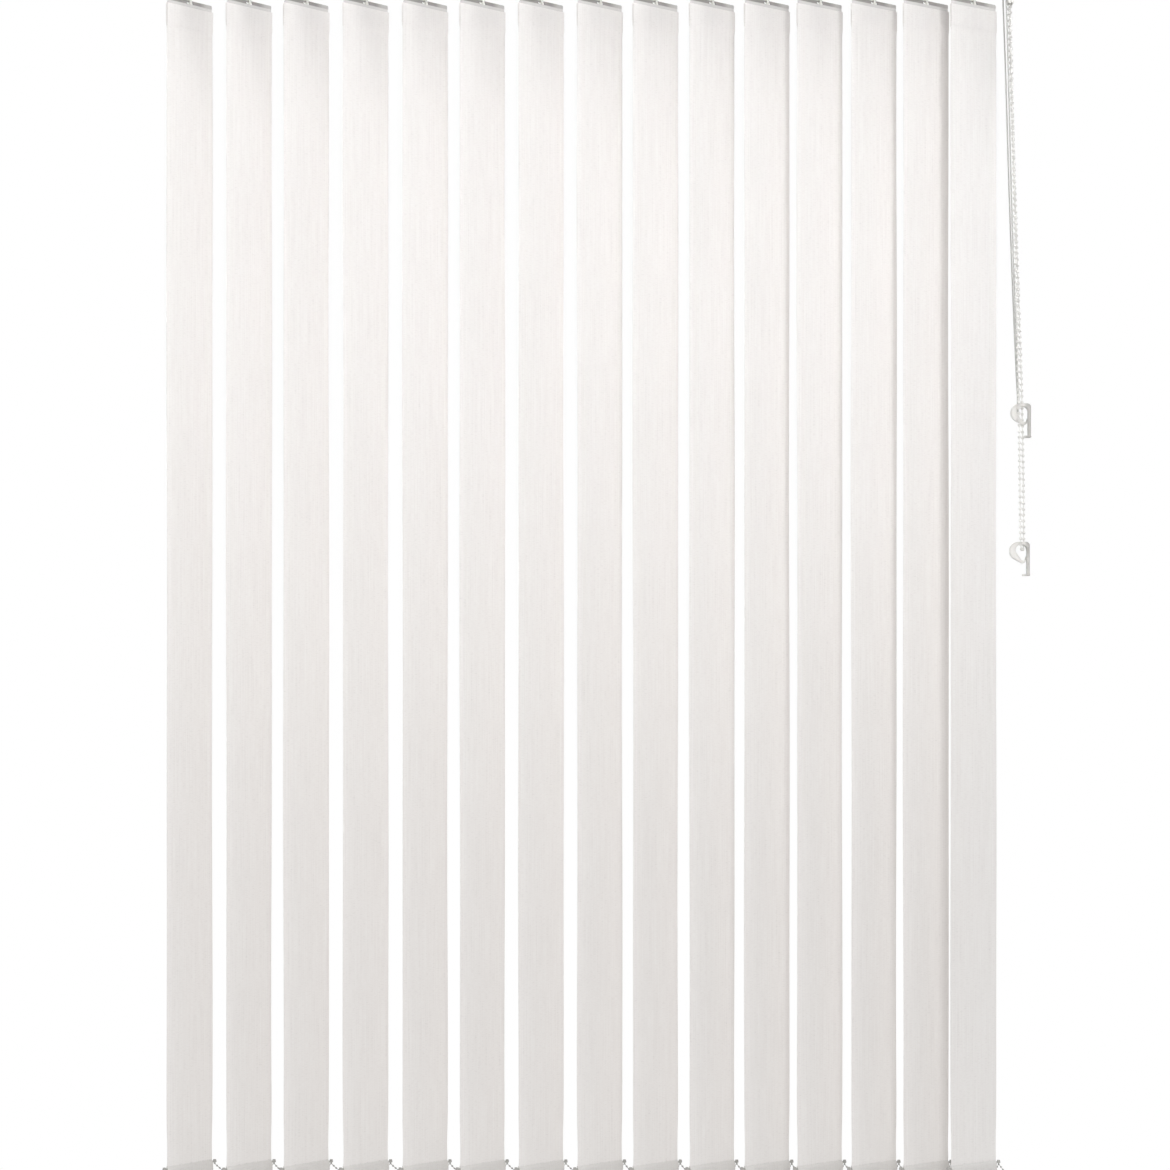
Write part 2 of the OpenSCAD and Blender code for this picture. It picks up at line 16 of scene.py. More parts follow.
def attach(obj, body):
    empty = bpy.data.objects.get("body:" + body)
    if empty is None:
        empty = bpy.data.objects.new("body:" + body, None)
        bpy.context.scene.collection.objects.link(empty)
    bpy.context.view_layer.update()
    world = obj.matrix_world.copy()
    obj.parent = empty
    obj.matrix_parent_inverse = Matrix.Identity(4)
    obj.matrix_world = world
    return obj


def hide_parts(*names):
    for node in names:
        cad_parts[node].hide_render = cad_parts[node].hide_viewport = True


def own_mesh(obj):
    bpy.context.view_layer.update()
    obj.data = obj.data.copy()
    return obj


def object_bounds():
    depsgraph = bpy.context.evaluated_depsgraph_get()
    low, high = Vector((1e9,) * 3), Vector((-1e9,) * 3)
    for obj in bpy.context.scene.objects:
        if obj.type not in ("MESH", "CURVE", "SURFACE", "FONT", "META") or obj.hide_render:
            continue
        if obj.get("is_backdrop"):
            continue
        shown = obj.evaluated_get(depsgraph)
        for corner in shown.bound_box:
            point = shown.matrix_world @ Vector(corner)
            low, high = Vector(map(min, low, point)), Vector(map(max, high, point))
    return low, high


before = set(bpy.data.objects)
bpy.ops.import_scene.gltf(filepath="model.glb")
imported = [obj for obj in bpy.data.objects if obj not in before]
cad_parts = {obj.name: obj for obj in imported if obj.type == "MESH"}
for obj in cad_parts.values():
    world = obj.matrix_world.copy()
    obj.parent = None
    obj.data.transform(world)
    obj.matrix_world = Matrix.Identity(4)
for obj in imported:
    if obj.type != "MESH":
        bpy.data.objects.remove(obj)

cad_box = [list(corner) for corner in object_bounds()]
MM = 0.001

# %% [markdown]
# ## The measures that the pieces share
#
# These repeat the CAD model's values, in millimetres and degrees. The slats hang at uneven
# distances, because the blind in the photograph isn't drawn out fully. The tilt rod's twist turns
# each slat a little less than the one before it.

# %% Shared measures
FIRST_X = -532
GAPS = [80, 77, 80, 80, 77, 79, 79, 75, 76, 74, 71, 73, 70, 64]
HOOK_X = [FIRST_X + sum(GAPS[:i]) for i in range(len(GAPS) + 1)]
MIDDLE = len(GAPS) // 2
MIDDLE_TURN, ROD_TWIST = 47.2, 0.95
TURNS = [math.radians(MIDDLE_TURN + (MIDDLE - i) * ROD_TWIST) for i in range(len(HOOK_X))]
NAMES = [f"{i:02d}" for i in range(1, len(HOOK_X) + 1)]
FABRIC_TOP, SEAM_Z, FABRIC_BOTTOM = -53, -1608, -1646
SLAT_W, FABRIC_T = 89, 0.5
print("slats:", len(NAMES), "from x", HOOK_X[0], "to", HOOK_X[-1], "mm")

# %% [markdown]
# ## The camera
#
# In the photograph the slats' top edges and bottom seams lean towards a horizon that lies 58% of the
# way down. A camera that looks up or down would make the upright edges converge, so this one stands
# level at the horizon, and its frame is shifted up.

# %% Camera at the photograph's angle
DISTANCE, HORIZON_Z = 4.5, -0.9606
PIXELS_PER_MM, PHOTO_PIXELS = 0.743, 1170
SENSOR_MM, FRAME_UP = 36, 0.0829
camera = bpy.data.objects.new("camera", bpy.data.cameras.new("camera"))
camera.location = (0, -DISTANCE, HORIZON_Z)
camera.rotation_euler = (math.pi / 2, 0, 0)
camera.data.sensor_width = SENSOR_MM
camera.data.lens = PIXELS_PER_MM * DISTANCE / MM / PHOTO_PIXELS * SENSOR_MM
camera.data.shift_y = FRAME_UP
bpy.context.scene.collection.objects.link(camera)
bpy.context.scene.camera = camera
print("camera:", round(camera.data.lens, 1), "mm lens at", DISTANCE, "m")

# %% [markdown]
# ## Colours and nodes
#
# A shader takes linear colours, but a colour is easiest to choose as an sRGB hex code, so one
# function turns one into the other. Nodes could be set up line by line. One helper that takes a
# node's settings, colour stops and sockets keeps each material short.

# %% Colour and node helpers
def srgb(code):
    """The linear colour of an sRGB hex code."""
    parts = [int(code[i:i + 2], 16) / 255 for i in (1, 3, 5)]
    return [p / 12.92 if p <= 0.04045 else ((p + 0.055) / 1.055) ** 2.4 for p in parts] + [1]


def add_node(tree, kind, settings=None, stops=(), **sockets):
    """Adds a node, sets it and its colour stops, and gives each named socket a value or a link."""
    made = tree.nodes.new(kind)
    for key, value in (settings or {}).items():
        setattr(made, key, value)
    for k, (place, colour) in enumerate(stops):
        elements = made.color_ramp.elements
        element = elements[k] if k < 2 else elements.new(place)
        element.position = place
        element.color = srgb(colour)
    for key, value in sockets.items():
        socket = made.inputs[int(key[1:]) if key[0] == "_" else key.replace("_", " ")]
        if isinstance(value, bpy.types.NodeSocket):
            tree.links.new(value, socket)
        else:
            socket.default_value = value
    return made


print("middle grey in linear light:", round(srgb("#808080")[0], 3))

# %% [markdown]
# ## Drawn and plated metals
#
# Seen close, no surface of the blind has one flat colour: its tone, gloss and relief wander a little
# over a grain of a real size. One function makes that from noise, for metals and plastics. It
# reads Object coordinates, which move with the piece.

# %% Metals
def new_material(name, slot, **shader):
    """A node material, with the record's slot it stands for, its tree and its shader."""
    material = bpy.data.materials.new(name)
    material.use_nodes = True
    material["slot"] = slot
    surface = material.node_tree.nodes["Principled BSDF"]
    for key, value in shader.items():
        surface.inputs[key.replace("_", " ")].default_value = value
    return material, material.node_tree, surface


def grained(name, slot, colours, roughness, grain_mm, relief_mm, **shader):
    """A material whose tone, gloss and relief follow a grain of the given size in X, Y and Z.

    Without colours, its tone is left for another pattern.
    """
    material, tree, surface = new_material(name, slot, **shader)
    place = add_node(tree, "ShaderNodeTexCoord").outputs["Object"]
    sizes = [1 / (g * MM) for g in grain_mm]
    sized = add_node(tree, "ShaderNodeMapping", Vector=place, Scale=sizes).outputs["Vector"]
    grain = add_node(tree, "ShaderNodeTexNoise", Vector=sized, Scale=1, Detail=3).outputs["Fac"]
    if colours:
        tone = add_node(tree, "ShaderNodeValToRGB", stops=zip((0.3, 0.7), colours), Fac=grain)
        tree.links.new(tone.outputs["Color"], surface.inputs["Base Color"])
    low, high = roughness
    gloss = add_node(tree, "ShaderNodeMapRange", Value=grain, To_Min=low, To_Max=high)
    tree.links.new(gloss.outputs["Result"], surface.inputs["Roughness"])
    relief = add_node(tree, "ShaderNodeBump", Height=grain, Strength=0.5, Distance=relief_mm * MM)
    tree.links.new(relief.outputs["Normal"], surface.inputs["Normal"])
    return material


# Anodised aluminium, drawn along X: fine lines run with the extrusion
aluminium = grained("anodised_aluminium", "aluminium", ("#b9babb", "#d0d1d2"), (0.28, 0.42),
                    (60, 0.4, 0.4), 0.01, Metallic=0.9)
# Zinc-plated spring steel, with the soft spangle of the plating
steel = grained("zinc_plated_steel", "bracket_steel", ("#a5a8aa", "#c3c5c6"), (0.3, 0.5),
                (3, 3, 3), 0.01, Metallic=1.0)
print("metals:", aluminium.name, steel.name)

# %% [markdown]
# ## White acetal
#
# Carriers, hooks, pulleys and end caps are moulded from acetal, which slides well and needs no oil.
# It is milky white with a low gloss. The texture of the mould is too fine to show in the render, so
# it is drawn as a coarser grain of 1.5 mm.

# %% Acetal
# Acetal, moulded: an even milky white with a soft shine
acetal = grained("white_acetal", "white_plastic", ("#e9e8e4", "#eeede9"), (0.34, 0.44),
                 (1.5, 1.5, 1.5), 0.01)
print("plastic:", acetal.name)

# %% [markdown]
# ## Clear polycarbonate
#
# The hangers stand in the slats' top pockets. Clear plastic over white cloth looks pale, and darker
# along the thick rim, but less so at the rear end, where the rim is open. A glass shader would need
# the mould's exact inner shape for that, so both are painted into the colour: a pale tone for the
# cloth seen through the plate, and painted shade on the rim. Two patterns set the tone: the height
# in Object coordinates finds the rim, and the piece's own UV map finds the rear end.

# %% Hanger plastic
RIM_LOW, RIM_HIGH = -49.2, -48.4
OPEN_FROM, OPEN_TO = 0.72, 0.86
# Polycarbonate, moulded clear and glossy
polycarbonate = grained("clear_polycarbonate", "clear_plastic", None, (0.12, 0.25),
                        (4, 4, 1), 0.02, Transmission_Weight=0.1, IOR=1.58)
tree = polycarbonate.node_tree
coordinates = add_node(tree, "ShaderNodeTexCoord")
height = add_node(tree, "ShaderNodeSeparateXYZ", Vector=coordinates.outputs["Object"]).outputs["Z"]
rim = add_node(tree, "ShaderNodeMapRange", Value=height, From_Min=RIM_LOW * MM,
               From_Max=RIM_HIGH * MM).outputs["Result"]
rearward = add_node(tree, "ShaderNodeSeparateXYZ", Vector=coordinates.outputs["UV"]).outputs["X"]
closed = add_node(tree, "ShaderNodeMapRange", Value=rearward, From_Min=OPEN_FROM,
                  From_Max=OPEN_TO, To_Min=1, To_Max=0.5).outputs["Result"]
thick = add_node(tree, "ShaderNodeMath", {"operation": "MULTIPLY"}, _0=rim, _1=closed)
# Painted light: the pale tone stands for the white cloth seen through the clear plate, and the
# darker tone is painted shade on the thick rim.
tone = add_node(tree, "ShaderNodeValToRGB", stops=[(0, "#f0eeec"), (1, "#aca8a6")],
                Fac=thick.outputs[0])
tree.links.new(tone.outputs["Color"], tree.nodes["Principled BSDF"].inputs["Base Color"])
print("plastic:", polycarbonate.name, len(tree.nodes), "nodes")

# %% [markdown]
# ## Frosted polycarbonate
#
# The two tidies are moulded in a frosted polycarbonate. It lets light through the thin rings and
# looks darker in the thick legs, where less light passes, so shade is painted into the legs' colour.
# Both legs stand at the same place across the blind, so Object coordinates find them.

# %% Tidy plastic
LEG_LEFT, LEG_RIGHT = 590, 594
# Frosted polycarbonate, moulded: a half-matt surface that glows a little
frosted = grained("frosted_polycarbonate", "tidy_plastic", None, (0.25, 0.4),
                  (2, 2, 2), 0.01, Transmission_Weight=0.2, IOR=1.58)
tree = frosted.node_tree
place = add_node(tree, "ShaderNodeTexCoord").outputs["Object"]
across = add_node(tree, "ShaderNodeSeparateXYZ", Vector=place).outputs["X"]
painted_leg_shade = add_node(tree, "ShaderNodeMapRange", Value=across, From_Min=LEG_LEFT * MM,
               From_Max=LEG_RIGHT * MM).outputs["Result"]
# Painted shade: the tone is darker on the thick legs, where less light passes through.
tone = add_node(tree, "ShaderNodeValToRGB", stops=[(0, "#dfddd9"), (1, "#aaa7a3")], Fac=painted_leg_shade)
tree.links.new(tone.outputs["Color"], tree.nodes["Principled BSDF"].inputs["Base Color"])
print("plastic:", frosted.name, len(tree.nodes), "nodes")

# %% [markdown]
# ## Grey PVC and polyester beads
#
# The bottom weights and link chains are a cheap grey PVC with a dull skin. The tilt chain's beads
# are moulded on their string from polyester, whiter and with more shine.

# %% Weight and bead plastics
# Grey PVC, moulded: dull, with faint flow marks
pvc = grained("grey_pvc", "link_chain_plastic", ("#a9a8a5", "#bbbab6"), (0.4, 0.55),
              (1.2, 1.2, 1.2), 0.02)
# Polyester, moulded on a string: small smooth beads
bead_plastic = grained("polyester_beads", "chain_plastic", ("#dcdbd8", "#e9e8e5"), (0.25, 0.4),
                       (2, 2, 2), 0.02)
print("materials:", [m.name for m in bpy.data.materials if "slot" in m])

# %% [markdown]
# ## Braided polyester
#
# The traverse cord is braided: two sets of yarns wind round it in opposite directions. Modelling
# each yarn would take many faces for a 2 mm cord. Two waves on the cord's UV map, which counts turns
# round it and metres along it, show the yarns instead.

# %% Cord braid
YARNS, LAY = 8, 3 * MM
# Polyester yarn, braided: matt, with darker lines between the yarns, painted shade in the grooves
braid, tree, surface = new_material("braided_polyester", "cord", Roughness=0.75)
place = add_node(tree, "ShaderNodeTexCoord").outputs["UV"]
place = add_node(tree, "ShaderNodeSeparateXYZ", Vector=place)
around = add_node(tree, "ShaderNodeMath", {"operation": "MULTIPLY"}, _0=place.outputs["X"],
                  _1=math.tau * YARNS).outputs[0]
along = add_node(tree, "ShaderNodeMath", {"operation": "MULTIPLY"}, _0=place.outputs["Y"],
                 _1=math.tau / LAY).outputs[0]
waves = []
for operation in ("ADD", "SUBTRACT"):
    turn = add_node(tree, "ShaderNodeMath", {"operation": operation}, _0=around, _1=along)
    wave = add_node(tree, "ShaderNodeMath", {"operation": "SINE"}, _0=turn.outputs[0])
    waves.append(wave.outputs[0])
yarns = add_node(tree, "ShaderNodeMath", {"operation": "MAXIMUM"}, _0=waves[0],
                 _1=waves[1]).outputs[0]
# Painted shade: the tone is darker where the waves are low, in the grooves between the yarns.
tone = add_node(tree, "ShaderNodeValToRGB", stops=[(0, "#b9b9b6"), (1, "#d4d4d1")], Fac=yarns)
tree.links.new(tone.outputs["Color"], surface.inputs["Base Color"])
relief = add_node(tree, "ShaderNodeBump", Height=yarns, Strength=0.6, Distance=0.15 * MM)
tree.links.new(relief.outputs["Normal"], surface.inputs["Normal"])
print("braid:", YARNS, "yarns each way,", round(LAY / MM, 1), "mm to a turn")

# %% [markdown]
# ## A tube along a route
#
# A cord could be a curve with a bevel. A mesh tube gives each point its own ring, so that the UV map
# can count metres along it. The route is a smooth curve through the points that the CAD model gives.

# %% Route and tube helpers
def smooth_route(points, step):
    """Points about a step apart on the smooth curve through the given ones (Catmull-Rom)."""
    points = [Vector(p) for p in points]
    points = [2 * points[0] - points[1], *points, 2 * points[-1] - points[-2]]
    route = []
    for p0, p1, p2, p3 in zip(points, points[1:], points[2:], points[3:]):
        t1 = math.sqrt((p1 - p0).length)
        t2 = t1 + math.sqrt((p2 - p1).length)
        t3 = t2 + math.sqrt((p3 - p2).length)
        count = max(1, round((p2 - p1).length / step))
        for k in range(count):
            t = t1 + (t2 - t1) * k / count
            a1 = p0.lerp(p1, t / t1)
            a2 = p1.lerp(p2, (t - t1) / (t2 - t1))
            a3 = p2.lerp(p3, (t - t2) / (t3 - t2))
            b1 = a1.lerp(a2, t / t2)
            b2 = a2.lerp(a3, (t - t1) / (t3 - t1))
            route.append(b1.lerp(b2, (t - t1) / (t2 - t1)))
    return route + [points[-2]]


def route_length(route):
    """The length of a route, from point to point."""
    return sum((b - a).length for a, b in zip(route, route[1:]))


def tube(route, radius, sides):
    """A closed tube along a route, with U once round it and V in metres along it."""
    mesh = bmesh.new()
    uv = mesh.loops.layers.uv.verify()
    turns = [math.tau * j / sides for j in range(sides)]
    side = Vector((0.3, 0.5, 0.8))
    rings, gone = [], 0
    for k, point in enumerate(route):
        along = (route[min(k + 1, len(route) - 1)] - route[max(k - 1, 0)]).normalized()
        side = (side - side.dot(along) * along).normalized()
        other = along.cross(side)
        gone += (point - route[max(k - 1, 0)]).length
        spokes = [math.cos(t) * side + math.sin(t) * other for t in turns]
        rings.append((gone, [mesh.verts.new(point + radius * spoke) for spoke in spokes]))
    for (v0, a), (v1, b) in zip(rings, rings[1:]):
        for j in range(sides):
            m = (j + 1) % sides
            face = mesh.faces.new((a[j], a[m], b[m], b[j]))
            corners = ((j, v0), (j + 1, v0), (j + 1, v1), (j, v1))
            for loop, (u, v) in zip(face.loops, corners):
                loop[uv].uv = (u / sides, v)
    mesh.faces.new(rings[0][1])
    mesh.faces.new(rings[-1][1])
    return mesh


bend = smooth_route([(1, 0, 0), (0.7, 0.7, 0), (0, 1, 0)], 0.1)
print("a bend of 1 m:", len(bend), "points,", round(route_length(bend), 2), "m long")

# %% [markdown]
# ## Making a piece
#
# Each piece is built as a bmesh. Its object could be moved into place, but a pattern on Object
# coordinates would then slide, so the place is baked into the mesh, in metres. The piece gets its
# material, rides on a CAD body and replaces a CAD node. Faces that meet at a small angle are shaded
# as one smooth surface.

# %% Piece maker
SHARP_ANGLE = math.radians(40)


def make_piece(name, mesh, material, body, node, place=Matrix.Identity(4)):
    """Bakes a bmesh into an object that rides on a body and replaces a CAD node."""
    mesh.transform(place)
    bmesh.ops.recalc_face_normals(mesh, faces=mesh.faces)
    data = bpy.data.meshes.new(name)
    mesh.to_mesh(data)
    mesh.free()
    data.materials.append(material)
    data.shade_smooth()
    data.set_sharp_from_angle(angle=SHARP_ANGLE)
    piece = bpy.data.objects.new(name, data)
    bpy.context.scene.collection.objects.link(piece)
    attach(piece, body)
    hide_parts(node)
    return piece


print("edges are sharp from", round(math.degrees(SHARP_ANGLE)), "degrees")

# %% [markdown]
# ## The traverse cord
#
# The cord runs from the lead carrier along the headrail, over the front pulley and down through the
# upper tidy's eye, up again over the rear pulley, and back round the far pulley to the lead carrier.
# It is pulled taut, so its route is given point by point, as in the CAD model.

# %% Traverse cord
CORD_D, CORD_Y, CORD_Z = 2, 16.5, -13
EYE_X, EYE_DOWN, EYE_R = 583, 590.5, 6.5
DROP = [(558, 13), (561.4, 13.4), (563.6, 15.2), (564.5, 18), (564.5, 30), (564.8, 44),
        (567, 110), (573.8, 350), (580.6, 530), (583, 580), (EYE_X, EYE_DOWN)]
DROP_Y = [CORD_Y] * 6 + [15.3, 10.4, 7.2, EYE_R, EYE_R]
RETURN_X = -564


def arc(x, z, r, start, end, count=10):
    """Points in X and Z on an arc between two angles in degrees."""
    angles = [math.radians(start + (end - start) * k / count) for k in range(count + 1)]
    return [(x + r * math.cos(a), z + r * math.sin(a)) for a in angles]


cord_points = (
    [(-531, -CORD_Y, CORD_Z), (0, -CORD_Y, CORD_Z)]
    + [(x, -y, -z) for (x, z), y in zip(DROP, DROP_Y)]
    + [(EYE_X, y, z - EYE_DOWN) for y, z in arc(0, 0, EYE_R, 180, 360, 8)[1:-1]]
    + [(x, y, -z) for (x, z), y in reversed(list(zip(DROP, DROP_Y)))]
    + [(0, CORD_Y, CORD_Z)]
    + [(x, y, CORD_Z) for x, y in arc(RETURN_X, 0, CORD_Y, 90, 270, 8)]
    + [(-535, -CORD_Y, CORD_Z)]
)
cord_route = [p * MM for p in smooth_route(cord_points, 6)]
mesh = tube(cord_route, CORD_D / 2 * MM, 12)
traverse_cord = make_piece("traverse_cord_braid", mesh, braid, "fixed", "traverse_cord")

# %% [markdown]
# ## Beads on a string
#
# A bead chain is a string with a small ball moulded on it at every step. One ball is made once and
# copied along the string at equal distances, turned so that its poles lie on the string.

# %% Bead helpers
def even_points(route, pitch):
    """Points at equal distances along a route, near to the pitch, with their directions."""
    count = round(route_length(route) / pitch)
    pitch = route_length(route) / count
    found, gone, due = [], 0, 0
    for a, b in zip(route, route[1:]):
        length = (b - a).length
        while due <= gone + length + 1e-6 and len(found) <= count:
            found.append((a.lerp(b, (due - gone) / length), (b - a).normalized()))
            due += pitch
        gone += length
    return found


def stamp(mesh, part, *places):
    """Copies a small bmesh into a larger one at each place."""
    part.verts.index_update()
    for place in places:
        verts = [mesh.verts.new(place @ v.co) for v in part.verts]
        for face in part.faces:
            mesh.faces.new([verts[v.index] for v in face.verts])


def string_beads(mesh, diameter, segments, places):
    """Puts a bead at each (point, direction)."""
    ball = bmesh.new()
    bmesh.ops.create_uvsphere(ball, u_segments=segments, v_segments=segments - 2,
                              radius=diameter / 2)
    for point, direction in places:
        turn = direction.to_track_quat("Z", "Y").to_matrix().to_4x4()
        stamp(mesh, ball, Matrix.Translation(point) @ turn)
    ball.free()


print("beads on 1 m at 8 mm:", len(even_points([Vector((0, 0, 0)), Vector((1, 0, 0))], 8 * MM)))

# %% [markdown]
# ## The tilt chain
#
# The bead chain runs over the sprocket and down both sides to the lower tidy. Its beads are 8 mm
# apart, as in the photograph. It hangs under its own weight, so both sides bow a little.

# %% Tilt chain
BEAD_D, BEAD_PITCH, STRING_D = 4.5, 8, 1.2
SPROCKET_R = 6 * BEAD_PITCH / math.tau
SPROCKET_X, ROD_Y, ROD_Z = 570.5, -8.6, -19
GUIDE_Z, LOOP_Z, LOOP_R = -54, -775, 8
over = [(SPROCKET_X, ROD_Y - y, ROD_Z + z) for y, z in arc(0, 0, SPROCKET_R, 90, 0, 3)]
down = [(SPROCKET_X, ROD_Y - SPROCKET_R, GUIDE_Z), (576.6, -13.3, -330), (582.6, -10.5, -600),
        (585.4, -LOOP_R, LOOP_Z)]
under = [(588.4 + 0.375 * y, y, LOOP_Z + z) for y, z in arc(0, 0, LOOP_R, 180, 360, 6)[1:-1]]
up = [(591.4, LOOP_R, LOOP_Z), (589.8, 10.5, -600), (580.3, 4.8, -330),
      (SPROCKET_X, ROD_Y + SPROCKET_R, GUIDE_Z)]
back = [(SPROCKET_X, ROD_Y - y, ROD_Z + z) for y, z in arc(0, 0, SPROCKET_R, 180, 90, 3)]
chain_route = [p * MM for p in smooth_route(over + down + under + up + back, 4)]
mesh = tube(chain_route, STRING_D / 2 * MM, 8)
string_beads(mesh, BEAD_D * MM, 12, even_points(chain_route, BEAD_PITCH * MM)[:-1])
tilt_chain = make_piece("tilt_bead_chain", mesh, bead_plastic, "fixed", "tilt_chain")

# %% [markdown]
# ## Flat shapes with round rims
#
# Tidies, hangers and weights are flat mouldings with round rims. A bevel after an extrusion would
# round them, but on the fine points of a curved outline it folds over itself. So each rim is laid as
# three rings, each moved inwards a little further. The rings are bridged, and the two faces filled.

# %% Plate helpers
def inset(loop, distance):
    """A closed loop of (x, z) points moved to its left: inwards, for a loop that turns left."""
    moved = []
    for before, here, after in zip(loop[-1:] + loop[:-1], loop, loop[1:] + loop[:1]):
        a = (Vector(here) - Vector(before)).normalized()
        b = (Vector(after) - Vector(here)).normalized()
        left = Vector((-a.y - b.y, a.x + b.x)) / (1 + a.dot(b))
        moved.append(tuple(Vector(here) + left * distance))
    return moved


def plate(loops, depth, round_r):
    """A flat shape in X and Z, deep along Y: an outline, then holes, each given turning left."""
    mesh = bmesh.new()
    faces = {-1: [], 1: []}
    for loop in loops[:1] + [hole[::-1] for hole in loops[1:]]:
        rings = []
        for side in (-1, 1):
            rim = []
            for turn in (0, math.pi / 4, math.pi / 2):
                shift = round_r * (1 - math.cos(turn))
                y = side * (depth / 2 - round_r + round_r * math.sin(turn))
                rim.append([mesh.verts.new((x, y, z)) for x, z in inset(loop, shift)])
            rings = rim[::-1] if side < 0 else rings + rim
        edges = [[mesh.edges.new(p) for p in zip(ring, ring[1:] + ring[:1])] for ring in rings]
        for a, b in zip(edges, edges[1:]):
            bmesh.ops.bridge_loops(mesh, edges=a + b)
        for side, rim_edges in ((-1, edges[0]), (1, edges[-1])):
            faces[side] += rim_edges
    for rim_edges in faces.values():
        bmesh.ops.triangle_fill(mesh, edges=rim_edges, use_beauty=True)
    bmesh.ops.recalc_face_normals(mesh, faces=mesh.faces)
    return mesh


square = [(0, 0), (10, 0), (10, 10), (0, 10)]
print("a square moved in by 1:", [tuple(round(v, 1) for v in point) for point in inset(square, 1)])

# %% [markdown]
# ## The two tidies
#
# Each is a P-shaped clip: the cord or chain runs through the eye, and the leg is screwed to the wall
# beside the window, through a hole along X. The outline is in millimetres from its top left corner.
# The hole runs through the leg from edge to edge, so a Boolean drills it, and is applied at once.

# %% Cord tidy and chain tidy
TIDY_DEPTH, TIDY_RIM = 10, 0.7
SCREW_R, SCREW_X, SCREW_Z, DRILL_L = 1.8, 24.95, -35, 6
outline = (
    arc(12.5, -12.5, 12.5, 90, 241, 20) + arc(17.5, -25, 4, 241, 342.6)
    + [(23, -20.8), (23, -43.3)] + arc(18.5, -44.6, 1.3, 90, 270)
    + arc(26.2, -44.6, 1.3, 270, 417) + arc(21.9, -5, 5, 0, 90)
)
eye = arc(15.5, -11.2, 7.5, -0.6, 215.2, 20) + arc(18.4, -20.5, 4.5, 215.2, 359.4, 14)


def lathe(profile):
    """A turned shape: (radius, height) points spun once round Z."""
    mesh = bmesh.new()
    verts = [mesh.verts.new((r, 0, z)) for r, z in profile]
    edges = [mesh.edges.new(pair) for pair in zip(verts, verts[1:] + verts[:1])]
    bmesh.ops.spin(mesh, geom=verts + edges, cent=(0, 0, 0), axis=(0, 0, 1), angle=math.tau,
                   steps=16, use_merge=True)
    bmesh.ops.remove_doubles(mesh, verts=mesh.verts, dist=0.02)
    return mesh


drill = lathe([(0, -DRILL_L), (SCREW_R, -DRILL_L), (SCREW_R, DRILL_L), (0, DRILL_L)])
drill.transform(Matrix.Translation((SCREW_X, 0, SCREW_Z)) @ Matrix.Rotation(math.pi / 2, 4, "Y"))
bmesh.ops.recalc_face_normals(drill, faces=drill.faces)
for name, x, z in (("cord_tidy", 572.8, -586), ("chain_tidy", 571.1, -772)):
    at_tidy = Matrix.Translation((x * MM, 0, z * MM)) @ Matrix.Scale(MM, 4)
    mesh = plate([outline, eye], TIDY_DEPTH, TIDY_RIM)
    piece = make_piece(name + "_clip", mesh, frosted, "fixed", name, place=at_tidy)
    cutter = bpy.data.objects.new("drill", bpy.data.meshes.new("drill"))
    drill.to_mesh(cutter.data)
    cutter.data.transform(at_tidy)
    bpy.context.scene.collection.objects.link(cutter)
    cut = piece.modifiers.new("screw_hole", "BOOLEAN")
    cut.object = cutter
    cut.solver = "EXACT"
    drilled = piece.evaluated_get(bpy.context.evaluated_depsgraph_get())
    piece.data = bpy.data.meshes.new_from_object(drilled)
    piece.modifiers.clear()
    bpy.data.objects.remove(cutter)
    print(piece.name, len(piece.data.polygons), "faces")
drill.free()

# %% [markdown]
# ## The linen-look fabric: colour
#
# The fabric is woven from polyester that imitates linen. Some warp threads run a little lighter for
# a long way, and short thick weft slubs cross them. Noise that is stretched along the cloth's UV map
# draws both. Single threads are too fine to show in the render, so the streaks are 1.6 mm wide.
# Below the bottom seam the grey weight shows through and keeps back the light that shines through
# the cloth elsewhere, so shade is painted there: the lower half of the colour stops holds the
# pocket's darker tones, and the upper half the cloth above it.

# %% Linen tones
# Polyester linen, woven: matt, with a faint sheen of fibres at grazing angles
linen, tree, surface = new_material("polyester_linen", "slat_fabric", Roughness=0.85,
                                    Sheen_Weight=0.12)
cloth = add_node(tree, "ShaderNodeTexCoord").outputs["UV"]
SEAM_V, SEAM_BLUR = (FABRIC_TOP - SEAM_Z) * MM, 1.5 * MM
patterns = []
for width, length, detail in ((1.6, 120, 1), (7, 0.9, 1), (9, 30, 2)):
    sizes = (1 / (width * MM), 1 / (length * MM), 1)
    sized = add_node(tree, "ShaderNodeMapping", Vector=cloth, Scale=sizes).outputs["Vector"]
    noise = add_node(tree, "ShaderNodeTexNoise", Vector=sized, Scale=1, Detail=detail)
    patterns.append(noise.outputs["Fac"])
warp, slubs, mottle = patterns
thick = add_node(tree, "ShaderNodeMapRange", Value=slubs, From_Min=0.5, From_Max=0.75)
streaks = add_node(tree, "ShaderNodeMath", {"operation": "MULTIPLY_ADD"},
                   _0=thick.outputs["Result"], _1=-0.5, _2=warp)
shade = add_node(tree, "ShaderNodeMath", {"operation": "MULTIPLY_ADD"},
                 _0=mottle, _1=0.4, _2=streaks.outputs[0])
fallen = add_node(tree, "ShaderNodeSeparateXYZ", Vector=cloth).outputs["Y"]
above_seam = add_node(tree, "ShaderNodeMapRange", Value=fallen, From_Min=SEAM_V - SEAM_BLUR,
                      From_Max=SEAM_V + SEAM_BLUR, To_Min=0.5, To_Max=0)
stop = add_node(tree, "ShaderNodeMath", {"operation": "MULTIPLY_ADD"},
                _0=shade.outputs[0], _1=0.5, _2=above_seam.outputs["Result"])
